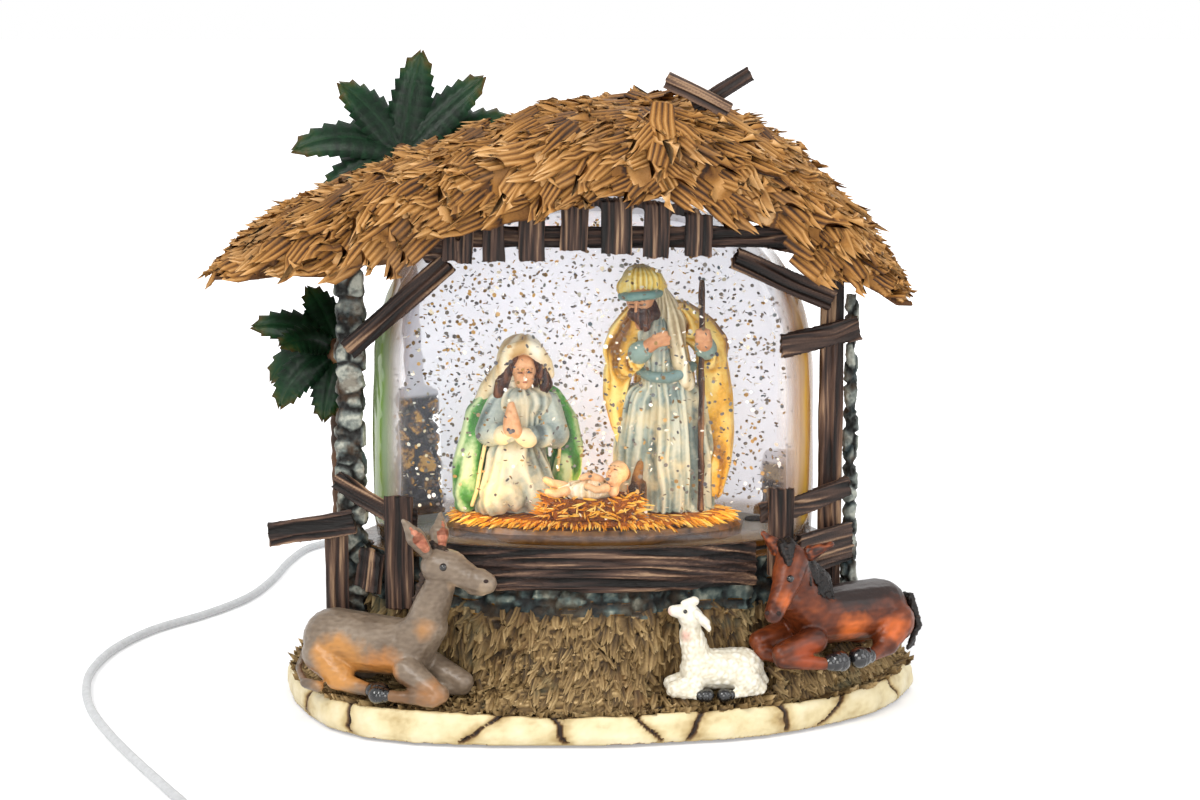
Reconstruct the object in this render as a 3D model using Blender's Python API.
# Lighted nativity scene: a cast stable on a rocky base, round a clear water tank with figures.
# Units are metres, +Z is up, the front faces -Y. The whole stands on its feet at z = 0.
# The origin is on the floor, under the middle of everything but the cord.

import math

import bmesh
import bpy
import numpy as np
from mathutils import Matrix, Vector

# General sizes
seat_gap = 0.0003          # clearance left between two seated pieces
foot_height = 0.0009
foot_radius = 0.0055

# Base casting: outline points about the middle of the tank's well, front half first
base_outline = [(0.1185, 0.009), (0.108, -0.024), (0.086, -0.047), (0.060, -0.063), (0.030, -0.0715),
                (-0.005, -0.0755), (-0.043, -0.075), (-0.074, -0.070), (-0.095, -0.056), (-0.108, -0.034),
                (-0.1165, -0.008), (-0.1175, 0.020), (-0.104, 0.048), (-0.072, 0.067), (-0.025, 0.0755),
                (0.030, 0.0755), (0.078, 0.064), (0.108, 0.041)]
base_wall = 0.0068         # thickness of the hollow casting
roof_wall = 0.0045         # thickness of its top under the tank
rim_height = 0.0125        # cream stone rim
rim_width = 0.007
rim_wave = 0.0012
grass_low = 0.0135         # ground under the donkey and the lamb
grass_right = 0.0225       # mound under the horse
bank_top = 0.042           # upper edge of the grass, where the stones begin
grass_rough = 0.0018       # height of the tufts
seat_carve = 0.0012        # how deep a seat is cut into the ground round it
palm_foot = 0.0178
podium_middle = (-0.003, -0.002)
podium_length = 0.172
podium_depth = 0.100
podium_top = 0.060
stone_out = 0.0024         # how far the stones under the planks stand out, both sides together
ledge_width = 0.012        # shelf on which the tank and its plug stand

# Tank
tank_middle = (-0.0025, -0.004)
tank_width = 0.163
tank_depth = 0.080
tank_wall = 0.0025
tank_spring = 0.118        # height where the dome starts to lean in
tank_top = 0.190
dome_power = 2.4
plug_thickness = 0.0032
seal_width = 0.0014
well_radius = 0.024
well_depth = 0.0155        # from the underside of the plug to the underside of the well
well_wall = 0.0016
pin_radius = 0.0012
pin_height = 0.009
stopper_radius = 0.004
stopper_place = (tank_middle[0] + tank_width / 2 - 0.0215, 0.008)

# Stirring drive
impeller_radius = 0.0185
impeller_hub = 0.006
impeller_height = 0.006
vane_count = 6
magnet_radius = 0.015
magnet_height = 0.005
magnet_clearance = 0.0022  # between the magnet and the underside of the well
shaft_radius = 0.001
motor_radius = 0.010
motor_length = 0.022
tower_wall = 0.0035

# Underside
cover_thickness = 0.0025
cover_recess = 0.0002
cell_radius = 0.00525
cell_length = 0.0445
cell_count = 3
cell_clearance = 0.0006
battery_middle = (podium_middle[0] - podium_length / 2 + 0.0415, -0.002)
box_wall = 0.0016
door_clearance = 0.0005
switch_place = (0.052, -0.012)
switch_travel = 0.003
knob_size = (0.0045, 0.003, 0.0019)

# Light
led_board_radius = 0.036
led_board_thickness = 0.0016
led_size = 0.0035
led_count = 6

# Inlet and cord
jack_x = -0.020
jack_height = 0.0072
jack_radius = 0.0042
jack_length = 0.0105
plug_pin_radius = 0.0023
cord_diameter = 0.0033
cord_route = [(-0.0215, 0.135), (-0.027, 0.160), (-0.040, 0.190), (-0.060, 0.217), (-0.086, 0.238), (-0.112, 0.2455),
              (-0.131, 0.234), (-0.1385, 0.205), (-0.142, 0.170), (-0.1485, 0.137), (-0.162, 0.109), (-0.180, 0.083),
              (-0.1905, 0.053), (-0.1935, 0.022), (-0.1905, -0.006), (-0.1835, -0.033), (-0.172, -0.062),
              (-0.158, -0.092), (-0.144, -0.120), (-0.1325, -0.143)]
coil_middle = (-0.1450, -0.1830)
coil_radius = 0.0180       # at the middle of the turns
coil_pitch = 0.00385
coil_layer = 0.0038
coil_turns = 7
coil_start = math.radians(26)
tie_width = 0.0035
tie_thickness = 0.0004
coil_rest = cord_diameter / 2 + tie_thickness + seat_gap
usb_level = 0.0042

# Floor and figures inside the tank
stand_length = 0.108
stand_depth = 0.049
stand_height = 0.005
stand_middle = (-0.0025, -0.0130)
mat_length = 0.098
mat_depth = 0.043
mat_height = 0.0024
woman_place = (-0.031, -0.014)
woman_height = 0.0655
man_place = (0.021, -0.006)
man_height = 0.0895
staff_place = (0.0365, -0.0165)
staff_radius = 0.0015
staff_height = 0.085
manger_place = (-0.0035, -0.0285)
manger_length = 0.036
manger_depth = 0.013
manger_height = 0.0085

# Stable frame
pillar_place = (tank_middle[0] - tank_width / 2 - 0.0060, -0.0168)
pillar_width = 0.0118
pillar_depth = 0.011
pillar_courses = 10
post_place = (tank_middle[0] + tank_width / 2 + 0.0045, -0.0125)
post_width = 0.0085
beam_height = 0.0078
beam_thickness = 0.0042
beam_middle_z = 0.1742
beam_left = tank_middle[0] - tank_width / 2 + 0.0220
beam_right = tank_middle[0] + tank_width / 2 - 0.0100
beam_bow = 0.0030          # how far the ends of the beam stand back
brace_width = 0.0085
brace_thickness = 0.0042
lath_width = 0.0092
lath_thickness = 0.0024
lath_head = 0.0034         # from the underside of the roof to the middle of the batten
lath_places = [(-0.0525, 0.0050, 0.1665), (-0.0460, 0.0052, 0.1655), (-0.0372, 0.0088, 0.1660),
               (-0.0238, 0.0100, 0.1660), (-0.0085, 0.0098, 0.1700), (0.0055, 0.0112, 0.1690),
               (0.0200, 0.0098, 0.1675), (0.0345, 0.0104, 0.1680)]
rail_height = 0.0092
board_thickness = 0.0034
wall_stand_off = 0.0030    # from the podium to the back of a fence post
fence_right_draw = 0.0008  # how much closer the right post stands

rear_stack_place = (-0.0700, 0.0440)
rear_boulder_place = (0.0700, 0.0430)
right_stones_place = (post_place[0] + 0.0080, -0.0035)
rear_foot = 0.028
rear_stack_size = (0.024, 0.013, 0.108)      # width, depth, top
rear_boulder_size = (0.024, 0.012, 0.083)
right_stones_size = (0.0075, 0.010, 0.150)

# Roof
roof_front = -0.0525
roof_back = 0.0455
roof_left = -0.1335
roof_right = 0.1085
roof_top_line = [(-0.1335, 0.1625), (-0.121, 0.1745), (-0.092, 0.1865), (-0.061, 0.199), (-0.025, 0.2115),
                 (0.010, 0.2165), (0.036, 0.2135), (0.057, 0.207), (0.072, 0.1955), (0.086, 0.183),
                 (0.098, 0.168), (0.1085, 0.1535)]
roof_eave_line = [(-0.1335, 0.160), (-0.112, 0.1605), (-0.095, 0.1625), (-0.088, 0.1645)]
roof_eave_right = [(0.047, 0.1835), (0.0655, 0.1790), (0.0735, 0.1755), (0.0795, 0.1645), (0.087, 0.1605),
                   (0.0955, 0.1560), (0.1085, 0.1510)]
roof_fringe_line = [(-0.1335, 0.1600), (-0.094, 0.1615), (-0.069, 0.1680), (-0.048, 0.1770), (-0.028, 0.1795),
                    (0.0, 0.1890), (0.031, 0.1890), (0.041, 0.1830), (0.0655, 0.1760), (0.0795, 0.1580),
                    (0.087, 0.1600), (0.100, 0.1530), (0.1085, 0.1500)]
fringe_thickness = 0.0060  # front to back, in front of the laths
course_step = 0.0032       # how far each layer of thatch stands proud of the next
course_count = 9
fringe_depth = 0.0045
fringe_bulge = 0.0016      # how far the tufts of the front stand out

# Palms
tall_palm_place = (-0.068, 0.0560)
tall_palm_crown = (-0.0760, 0.0640, 0.195)
side_palm_place = (-0.0955, 0.020)
side_palm_crown = (-0.098, 0.019, 0.126)
trunk_radius = 0.0042
leaf_facing = Vector((0.0, -0.80, 0.60))     # way in which the leaves turn their upper sides

# Animals
donkey_place = (-0.0765, -0.0490)
donkey_turn = -0.50
donkey_length = 0.0615
lamb_place = (0.0405, -0.0545)
lamb_turn = 0.20
lamb_length = 0.035
horse_place = (0.0815, -0.0392)
horse_turn = 0.54
horse_length = 0.0600

press = 0.0010             # how far a soft underside is pressed flat on its seat

casting_bottom = foot_height + seat_gap - cover_recess
site_shift = (0.0079, -0.0075)   # from the middle of the base to the middle of everything


def clear_scene():
    for thing in list(bpy.data.objects):
        bpy.data.objects.remove(thing, do_unlink=True)


def make_material(name, colour, roughness, metallic=0.0):
    material = bpy.data.materials.new(name)
    material.use_nodes = True
    shader = material.node_tree.nodes["Principled BSDF"]
    shader.inputs["Base Color"].default_value = (*colour, 1.0)
    shader.inputs["Roughness"].default_value = roughness
    shader.inputs["Metallic"].default_value = metallic
    material.diffuse_color = (*colour, 1.0)
    return material


def wave(x, y, z=0.0):
    """A smooth, repeatable unevenness between -1 and 1."""
    return (math.sin(x * 1.0 + 1.7 * math.sin(y * 0.7 + z)) + math.sin(y * 1.3 + 1.1 * math.sin(x * 0.9 - z))
            + math.sin(z * 1.1 + x * 0.5 - y * 0.6)) / 3.0


def smooth_closed(points, count):
    """Points on a closed smooth curve through the given ones, evenly by parameter."""
    result = []
    size = len(points)
    for step in range(count):
        place = step * size / count
        index = int(place)
        t = place - index
        p = [np.array(points[(index + k) % size], float) for k in (-1, 0, 1, 2)]
        result.append(catmull(p, t))
    return result


def catmull(p, t):
    return 0.5 * (2 * p[1] + (p[2] - p[0]) * t + (2 * p[0] - 5 * p[1] + 4 * p[2] - p[3]) * t * t
                  + (3 * p[1] - 3 * p[2] + p[3] - p[0]) * t ** 3)


def smooth_open(points, per_span):
    """Points on a smooth curve through the given ones, with per_span steps between two."""
    result = []
    size = len(points)
    for index in range(size - 1):
        ids = [max(index - 1, 0), index, index + 1, min(index + 2, size - 1)]
        p = [np.array(points[i], float) for i in ids]
        result.extend(catmull(p, step / per_span) for step in range(per_span))
    result.append(np.array(points[-1], float))
    return result


def line_height(points, x):
    """Height of a polyline of (x, z) points at x."""
    return float(np.interp(x, [p[0] for p in points], [p[1] for p in points]))


def oval(middle, length, depth, z, count, power=2.0):
    """A ring of points on an oval; a higher power makes it squarer."""
    ring = []
    for step in range(count):
        angle = 2 * math.pi * step / count
        c = math.cos(angle)
        s = math.sin(angle)
        reach = (abs(c) ** power + abs(s) ** power) ** (-1 / power)
        ring.append(Vector((middle[0] + reach * c * length / 2, middle[1] + reach * s * depth / 2, z)))
    return ring


def finish_mesh(name, bm, material, smooth_angle=40):
    mesh = bpy.data.meshes.new(name)
    bmesh.ops.recalc_face_normals(bm, faces=bm.faces[:])
    bm.to_mesh(mesh)
    bm.free()
    mesh.materials.append(material)
    mesh.shade_smooth()
    mesh.set_sharp_from_angle(angle=math.radians(smooth_angle))
    thing = bpy.data.objects.new(name, mesh)
    bpy.context.collection.objects.link(thing)
    thing.parent = site
    return thing


def bridge(bm, first, second):
    size = len(first)
    for i in range(size):
        bm.faces.new((first[i], first[(i + 1) % size], second[(i + 1) % size], second[i]))


def loft(name, rings, material, joined=False, smooth_angle=40):
    """A closed solid through rings of points: capped at both ends, or joined into a hoop."""
    bm = bmesh.new()
    loops = [[bm.verts.new(p) for p in ring] for ring in rings]
    for first, second in zip(loops, loops[1:]):
        bridge(bm, first, second)
    if joined:
        bridge(bm, loops[-1], loops[0])
    else:
        bm.faces.new(loops[0][::-1])
        bm.faces.new(loops[-1])
    return finish_mesh(name, bm, material, smooth_angle)


def cutter(thing):
    """Marks an object as a guide for cuts, which isn't part of the model."""
    thing.hide_render = True
    thing.display_type = "WIRE"
    return thing


def change_with(thing, other, operation):
    change = thing.modifiers.new(operation.lower(), "BOOLEAN")
    change.operation = operation
    change.solver = "EXACT"
    change.object = other


def block(name, low, high, material):
    bm = bmesh.new()
    bmesh.ops.create_cube(bm, size=1.0)
    low = Vector(low)
    high = Vector(high)
    size = high - low
    for vert in bm.verts:
        vert.co = (low + high) / 2 + Vector(vert.co[i] * size[i] for i in range(3))
    return finish_mesh(name, bm, material)


def rod(name, start, end, radius, material, sides=20):
    """A round bar between two points."""
    bm = bmesh.new()
    start = Vector(start)
    end = Vector(end)
    bmesh.ops.create_cone(bm, cap_ends=True, segments=sides, radius1=radius, radius2=radius,
                          depth=(end - start).length)
    turn = Vector((0, 0, 1)).rotation_difference(end - start).to_matrix().to_4x4()
    bm.transform(Matrix.Translation((start + end) / 2) @ turn)
    return finish_mesh(name, bm, material)


def plank_ring(middle, along, up, height, thickness, seed, grooves):
    """Cross-section of a weathered board: rounded, with grooves down its two wide faces."""
    out = along.cross(up).normalized()
    ring = []
    for side in (1, -1):
        for step in range(grooves + 1):
            part = step / grooves - 0.5
            depth = 0.5 if step % 2 == 0 else 0.36
            depth += 0.06 * wave(step * 2.1 + seed, side + seed * 1.7)
            ring.append(middle + up * (height * part * side) + out * (thickness * depth * side))
    return ring


def plank(name, path, height, thickness, material, seed=0.0, up=Vector((0, 0, 1)), ragged=0.0014, grooves=5):
    """A weathered board along a path of points, with grooves along it and ragged ends."""
    points = [Vector(p) for p in path]
    rings = []
    for index, point in enumerate(points):
        before = points[max(index - 1, 0)]
        after = points[min(index + 1, len(points) - 1)]
        along = (after - before).normalized()
        across = (up - along * up.dot(along)).normalized()
        swell = 1 + 0.05 * wave(index * 1.9, seed)
        ring = plank_ring(point, along, across, height * swell, thickness, seed + index * 0.15, grooves)
        if index in (0, len(points) - 1):
            sign = -1 if index == 0 else 1
            for corner, vert in enumerate(ring):
                vert += along * (sign * ragged * (0.5 + 0.5 * wave(corner * 2.3, seed + index)))
        rings.append(ring)
    return loft(name, rings, material, smooth_angle=25)


def body_of(name, shapes, material, voxel, triangles, cuts=(), rounds=2):
    """One carved body: balls, limbs and lofted shapes melted together, then thinned out."""
    bm = bmesh.new()
    for shape in shapes:
        add_limb(bm, *shape)
    thing = finish_mesh(name, bm, material, 70)
    melt = thing.modifiers.new("melt", "REMESH")
    melt.mode = "VOXEL"
    melt.voxel_size = voxel
    soften = thing.modifiers.new("soften", "SMOOTH")
    soften.factor = 0.5
    soften.iterations = rounds
    graph = bpy.context.evaluated_depsgraph_get()
    full = bmesh.new()
    full.from_mesh(thing.evaluated_get(graph).to_mesh())
    faces = sum(len(face.verts) - 2 for face in full.faces)
    full.free()
    thin = thing.modifiers.new("thin", "DECIMATE")
    thin.ratio = min(1.0, triangles / faces)
    for cut in cuts:
        change_with(thing, cut, "DIFFERENCE")
    return thing


def add_limb(bm, start, end, radius_start, radius_end):
    """A round limb with ball ends of two radii."""
    start = Vector(start)
    end = Vector(end)
    length = (end - start).length
    turn = Matrix.Identity(4)
    if length > 1e-6:
        turn = Vector((0, 0, 1)).rotation_difference(end - start).to_matrix().to_4x4()
        bmesh.ops.create_cone(bm, cap_ends=True, segments=16, radius1=radius_start, radius2=radius_end,
                              depth=length, matrix=Matrix.Translation((start + end) / 2) @ turn)
    for point, radius in ((start, radius_start), (end, radius_end)):
        bmesh.ops.create_uvsphere(bm, u_segments=16, v_segments=10, radius=radius,
                                  matrix=Matrix.Translation(point) @ turn)


def placed(shapes, place, turn, scale, level):
    """Limbs written in lengths of the animal, brought to its place and heading."""
    c = math.cos(turn)
    s = math.sin(turn)
    result = []
    for a, b, ra, rb in shapes:
        ends = []
        for x, y, z in (a, b):
            ends.append((place[0] + scale * (c * x - s * y), place[1] + scale * (s * x + c * y),
                         level + scale * z))
        result.append((ends[0], ends[1], ra * scale, rb * scale))
    return result


# Base and ground

def base_ring(count=38):
    """Outline of the base at even angles, as unit directions and reaches."""
    dense = smooth_closed(base_outline, 720)
    angles = np.unwrap([math.atan2(p[1], p[0]) for p in dense])
    reaches = [math.hypot(p[0], p[1]) for p in dense]
    order = np.argsort(np.mod(angles, 2 * math.pi))
    sorted_angles = np.mod(angles, 2 * math.pi)[order]
    sorted_reaches = np.array(reaches)[order]
    wanted = [2 * math.pi * step / count for step in range(count)]
    found = np.interp(wanted, sorted_angles, sorted_reaches, period=2 * math.pi)
    return [(math.cos(a), math.sin(a), r) for a, r in zip(wanted, found)]


def level_pads():
    """Flat seats in the ground: middle, half length, half depth, turn, height."""
    return [
        (donkey_place, donkey_length * 0.58, donkey_length * 0.28, donkey_turn, grass_low),
        (lamb_place, lamb_length * 0.62, lamb_length * 0.34, lamb_turn, grass_low),
        (horse_place, horse_length * 0.60, horse_length * 0.27, horse_turn, grass_right),
        (pillar_place, pillar_width * 0.62, pillar_depth * 0.62, 0.0, pillar_foot()),
        (post_place, post_width * 0.74, post_width * 0.74, 0.0, post_foot()),
        (right_stones_place, 0.0052, 0.0066, 0.0, post_foot()),
        (tall_palm_place, trunk_radius * 1.4, trunk_radius * 1.4, 0.0, palm_foot),
        (side_palm_place, trunk_radius * 1.4, trunk_radius * 1.4, 0.0, palm_foot),
        (rear_stack_place, 0.0145, 0.0082, 0.0, rear_foot),
        (rear_boulder_place, 0.0145, 0.0078, 0.0, rear_foot),
    ]


def carve_seats(base):
    """Cuts each flat seat down into the cast ground."""
    for number, (middle, half_x, half_y, turn, level) in enumerate(level_pads()):
        rings = []
        for z in (level, level + 0.075):
            ring = oval((0, 0), 2 * half_x, 2 * half_y, z, 12, 3)
            turned = Matrix.Rotation(turn, 4, "Z")
            rings.append([turned @ point + Vector((*middle, 0)) for point in ring])
        change_with(base, cutter(loft("seat_%d" % number, rings, cast_stone)), "DIFFERENCE")


def pillar_foot():
    return rim_height + 0.012


def post_foot():
    return grass_right + 0.004


def ground(x, y, share):
    """Height of the grass and rocks; share runs from 0 at the rim to 1 at the podium's foot."""
    rise = grass_low + (bank_top - grass_low) * share ** 1.15
    rough = grass_rough * (wave(x * 620, y * 640) + 0.7 * wave(x * 1500, y * 1400, 2.0))
    height = rise + rough
    for middle, half_x, half_y, turn, level in level_pads():
        c = math.cos(-turn)
        s = math.sin(-turn)
        u = (c * (x - middle[0]) - s * (y - middle[1])) / half_x
        v = (s * (x - middle[0]) + c * (y - middle[1])) / half_y
        distance = (abs(u) ** 3 + abs(v) ** 3) ** (1 / 3)
        blend = min(max((distance - 1.1) / 0.45, 0.0), 1.0)
        raised = level + seat_carve
        height = raised + (height - raised) * blend * blend * (3 - 2 * blend)
    return height


def make_base():
    outline = base_ring()
    count = len(outline)
    foot = oval(podium_middle, podium_length + stone_out, podium_depth + stone_out, 0, count)
    brow = oval(podium_middle, podium_length, podium_depth, podium_top, count)
    shelf = oval(podium_middle, podium_length - 2 * ledge_width, podium_depth - 2 * ledge_width, podium_top, count)
    rings = []

    def rim_ring(inset, z, waviness):
        ring = []
        for index, (c, s, reach) in enumerate(outline):
            level = z + waviness * rim_wave * wave(index * 0.8, 3.0)
            out = reach - inset - 0.5 * rim_wave * (1 + wave(index * 1.9, 5.0))
            ring.append(Vector((c * out, s * out, level)))
        return ring

    rings.append(rim_ring(0.0012, casting_bottom, 0))
    rings.append(rim_ring(0.0, casting_bottom + 0.0028, 0))
    rings.append(rim_ring(0.0004, rim_height * 0.72, 0.6))
    rings.append(rim_ring(0.0026, rim_height, 1.0))
    rings.append(rim_ring(rim_width, rim_height - 0.0006, 1.0))
    steps = 5
    inner = rim_ring(rim_width, 0, 0)
    for step in range(1, steps + 1):
        share = step / steps
        ring = []
        for index in range(count):
            point = inner[index].lerp(foot[index], share)
            ring.append(Vector((point.x, point.y, ground(point.x, point.y, share))))
        rings.append(ring)
    stones = []
    for index in range(count):
        bulge = 1 + 0.006 * wave(index * 1.9, 1.0)
        point = foot[index].copy()
        point.x *= bulge
        point.y *= bulge
        point.z = max(rings[-1][index].z + 0.001, podium_top - 0.0125 + 0.001 * wave(index * 1.3, 5.0))
        stones.append(point)
    rings.append(stones)
    rings.append([Vector((p.x, p.y, podium_top - 0.0105)) for p in brow])
    rings.append(brow)
    rings.append(shelf)
    roof_level = podium_top - roof_wall
    rings.append([Vector((p.x, p.y, roof_level)) for p in shelf])
    inside = oval(podium_middle, podium_length - 2 * base_wall, podium_depth - 2 * base_wall, roof_level, count)
    rings.append(inside)
    rings.append([Vector((p.x, p.y, cover_top() + seat_gap)) for p in inside])
    rings.append([Vector((p.x, p.y, cover_top() + seat_gap)) for p in cover_outline(count, door_clearance)])
    rings.append([Vector((p.x, p.y, casting_bottom)) for p in cover_outline(count, door_clearance)])
    base = loft("base_casting", rings, cast_stone, joined=True)
    bore = cutter(rod("jack_bore", (jack_x, jack_mouth() + 0.01, jack_height),
                      (jack_x, jack_mouth() - 0.04, jack_height), jack_radius + seat_gap, cast_stone))
    change_with(base, bore, "DIFFERENCE")
    carve_seats(base)
    return base


def cover_top():
    return foot_height + seat_gap + cover_thickness


def cover_outline(count, grow):
    length = podium_length + 2 * 0.004 + 2 * grow
    depth = podium_depth + 2 * 0.004 + 2 * grow
    return oval(podium_middle, length, depth, 0, count)


def jack_mouth():
    """Where the back of the rim is, at the inlet."""
    dense = smooth_closed(base_outline, 720)
    back = [p for p in dense if p[1] > 0]
    return float(min(back, key=lambda p: abs(p[0] - jack_x))[1])


# Tank

def dome_share(z):
    if z <= tank_spring:
        return 1.0
    height = min((z - tank_spring) / (tank_top - tank_spring), 1.0)
    return max(1 - height ** dome_power, 0.0) ** (1 / dome_power)


def arch_height(x):
    """Top of the tank's front outline at x."""
    share = min(abs(x - tank_middle[0]) / (tank_width / 2), 1.0)
    return tank_spring + (tank_top - tank_spring) * (1 - share ** dome_power) ** (1 / dome_power)


def make_tank():
    count = 24
    bottom = podium_top + seat_gap
    heights = [bottom, 0.5 * (bottom + tank_spring)]
    for step in range(5):
        angle = math.pi / 2 * step / 5.5
        heights.append(tank_spring + (tank_top - tank_spring) * math.sin(angle))
    rings = []
    for z in heights:
        share = dome_share(z)
        rings.append(oval(tank_middle, tank_width * share, tank_depth * share, z, count))
    rings.append(oval(tank_middle, tank_width * 0.12, tank_depth * 0.12, tank_top, count))
    inner_height = tank_top - tank_wall
    inner = []
    for z in heights:
        share = dome_share(z)
        level = min(z, inner_height - 0.001)
        inner.append(oval(tank_middle, tank_width * share - 2 * tank_wall, tank_depth * share - 2 * tank_wall,
                          level - (tank_wall * 0.8 if z > tank_spring else 0), count))
    inner.append(oval(tank_middle, tank_width * 0.10, tank_depth * 0.10, inner_height, count))
    bm = bmesh.new()
    outer_loops = [[bm.verts.new(p) for p in ring] for ring in rings]
    inner_loops = [[bm.verts.new(p) for p in ring] for ring in inner]
    for loops in (outer_loops, inner_loops):
        for first, second in zip(loops, loops[1:]):
            bridge(bm, first, second)
        bm.faces.new(loops[-1])
    bridge(bm, outer_loops[0], inner_loops[0])
    return finish_mesh("tank_shell", bm, clear_plastic, 60)


def plug_size():
    shrink = 2 * (tank_wall + seal_width + 2 * seat_gap)
    return tank_width - shrink, tank_depth - shrink


def make_tank_plug():
    count = 24
    length, depth = plug_size()
    bottom = podium_top + seat_gap
    top = bottom + plug_thickness
    well_bottom = bottom - well_depth
    middle = tank_middle

    def disc(radius, z):
        return oval(middle, 2 * radius, 2 * radius, z, count)

    rings = [disc(0.004, well_bottom), disc(well_radius - 0.001, well_bottom), disc(well_radius, well_bottom + 0.001),
             disc(well_radius, bottom), oval(middle, length, depth, bottom, count),
             oval(middle, length, depth, top, count), disc(well_radius - well_wall, top),
             disc(well_radius - well_wall, well_bottom + well_wall), disc(pin_radius * 2.2, well_bottom + well_wall),
             disc(pin_radius, well_bottom + well_wall + 0.001),
             disc(pin_radius, well_bottom + well_wall + pin_height)]
    plug = loft("tank_plug", rings, clear_plug)
    hole = cutter(rod("stopper_hole", (*stopper_place, bottom - 0.01), (*stopper_place, top + 0.01),
                      stopper_radius + seat_gap, clear_plug))
    change_with(plug, hole, "DIFFERENCE")
    inner = [oval(middle, length + 2 * seat_gap, depth + 2 * seat_gap, z, count) for z in (bottom, top - 0.0004)]
    grow = 2 * seal_width
    outer = [oval(middle, length + grow, depth + grow, z, count) for z in (bottom, top - 0.0004)]
    loft("tank_seal", [inner[0], outer[0], outer[1], inner[1]], rubber, joined=True)
    rings = [oval(stopper_place, 2 * r, 2 * r, z, 20) for r, z in
             ((stopper_radius + 0.0018, bottom - seat_gap - 0.0016), (stopper_radius + 0.0018, bottom - seat_gap),
              (stopper_radius, bottom - seat_gap), (stopper_radius - 0.0004, top + 0.0006))]
    loft("tank_stopper", rings, rubber)


def stand_bottom():
    return podium_top + seat_gap + plug_thickness + seat_gap


def make_stand():
    """Oval stand over the well; arches in its skirt let the water through."""
    count = 32
    bottom = stand_bottom()
    top = bottom + stand_height
    outer_foot = oval(stand_middle, stand_length, stand_depth, bottom, count)
    inner_foot = oval(stand_middle, stand_length - 0.008, stand_depth - 0.008, bottom, count)
    for ring in (outer_foot, inner_foot):
        for index, point in enumerate(ring):
            if index % 8 in (3, 4):
                point.z = bottom + stand_height * 0.45
    rough = oval(stand_middle, stand_length + 0.0012, stand_depth + 0.0012, bottom + stand_height * 0.62, count)
    for index, point in enumerate(rough):
        point.z += 0.0005 * wave(index * 1.4, 2.0)
    brow = oval(stand_middle, stand_length - 0.0012, stand_depth - 0.0012, top, count)
    ceiling = oval(stand_middle, stand_length - 0.008, stand_depth - 0.008, top - 0.0018, count)
    bm = bmesh.new()
    loops = [[bm.verts.new(p) for p in ring] for ring in (brow, rough, outer_foot, inner_foot, ceiling)]
    for first, second in zip(loops, loops[1:]):
        bridge(bm, first, second)
    bm.faces.new(loops[0])
    bm.faces.new(loops[-1])
    finish_mesh("inner_stand", bm, brown_cast)


def mat_bottom():
    return stand_bottom() + stand_height + seat_gap


def mat_top():
    return mat_bottom() + mat_height


def make_mat():
    count = 34
    rings = []
    for scale, z in ((0.94, 0.0), (1.0, 0.35), (0.97, 0.8), (0.93, 1.0)):
        ring = oval(stand_middle, mat_length * scale, mat_depth * scale, mat_bottom() + mat_height * z, count)
        if 0 < z < 1:
            for index, point in enumerate(ring):
                push = 1 + 0.018 * (1 if index % 2 else -1) + 0.012 * wave(index * 2.3, z)
                point.x = stand_middle[0] + (point.x - stand_middle[0]) * push
                point.y = stand_middle[1] + (point.y - stand_middle[1]) * push
        rings.append(ring)
    loft("straw_mat", rings, straw, smooth_angle=20)


# Figures

def floor_cut(name, level):
    """A block that cuts a carved body flat at its seat."""
    return cutter(block(name, (-0.2, -0.2, level - 0.05), (0.2, 0.2, level), brown_cast))


def make_woman():
    h = woman_height
    x, y = woman_place
    level = mat_top() + seat_gap

    def at(dx, dy, dz):
        return (x + dx * h, y + dy * h, level + dz * h)

    shapes = [
        (at(-0.02, 0.05, 0.16), at(0.0, 0.03, 0.50), 0.19 * h, 0.145 * h),
        (at(0.0, 0.03, 0.50), at(0.02, 0.02, 0.60), 0.145 * h, 0.115 * h),
        (at(0.03, -0.08, 0.12), at(0.02, 0.02, 0.42), 0.14 * h, 0.12 * h),
        (at(-0.17, -0.02, 0.10), at(-0.12, 0.03, 0.55), 0.13 * h, 0.10 * h),
        (at(0.17, 0.02, 0.14), at(0.15, 0.03, 0.52), 0.12 * h, 0.085 * h),
        (at(0.02, 0.10, 0.09), at(0.05, 0.17, 0.10), 0.17 * h, 0.12 * h),
        (at(-0.16, 0.02, 0.60), at(-0.10, -0.09, 0.44), 0.07 * h, 0.058 * h),
        (at(-0.10, -0.09, 0.44), at(0.06, -0.15, 0.53), 0.055 * h, 0.032 * h),
        (at(0.19, 0.02, 0.60), at(0.19, -0.09, 0.45), 0.07 * h, 0.058 * h),
        (at(0.19, -0.09, 0.45), at(0.08, -0.15, 0.53), 0.055 * h, 0.032 * h),
        (at(0.065, -0.16, 0.52), at(0.06, -0.15, 0.61), 0.032 * h, 0.018 * h),
        (at(0.04, 0.01, 0.66), at(0.07, -0.02, 0.75), 0.06 * h, 0.06 * h),
        (at(0.08, -0.04, 0.77), at(0.08, -0.03, 0.785), 0.078 * h, 0.084 * h),
        (at(0.06, 0.03, 0.83), at(0.07, 0.01, 0.855), 0.105 * h, 0.090 * h),
        (at(-0.05, 0.04, 0.64), at(0.01, 0.03, 0.80), 0.075 * h, 0.075 * h),
        (at(0.17, 0.04, 0.66), at(0.13, 0.03, 0.79), 0.065 * h, 0.070 * h),
    ]
    return body_of("kneeling_woman", shapes, green_robe, 0.0013, 520, [floor_cut("woman_cut", level)])


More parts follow.
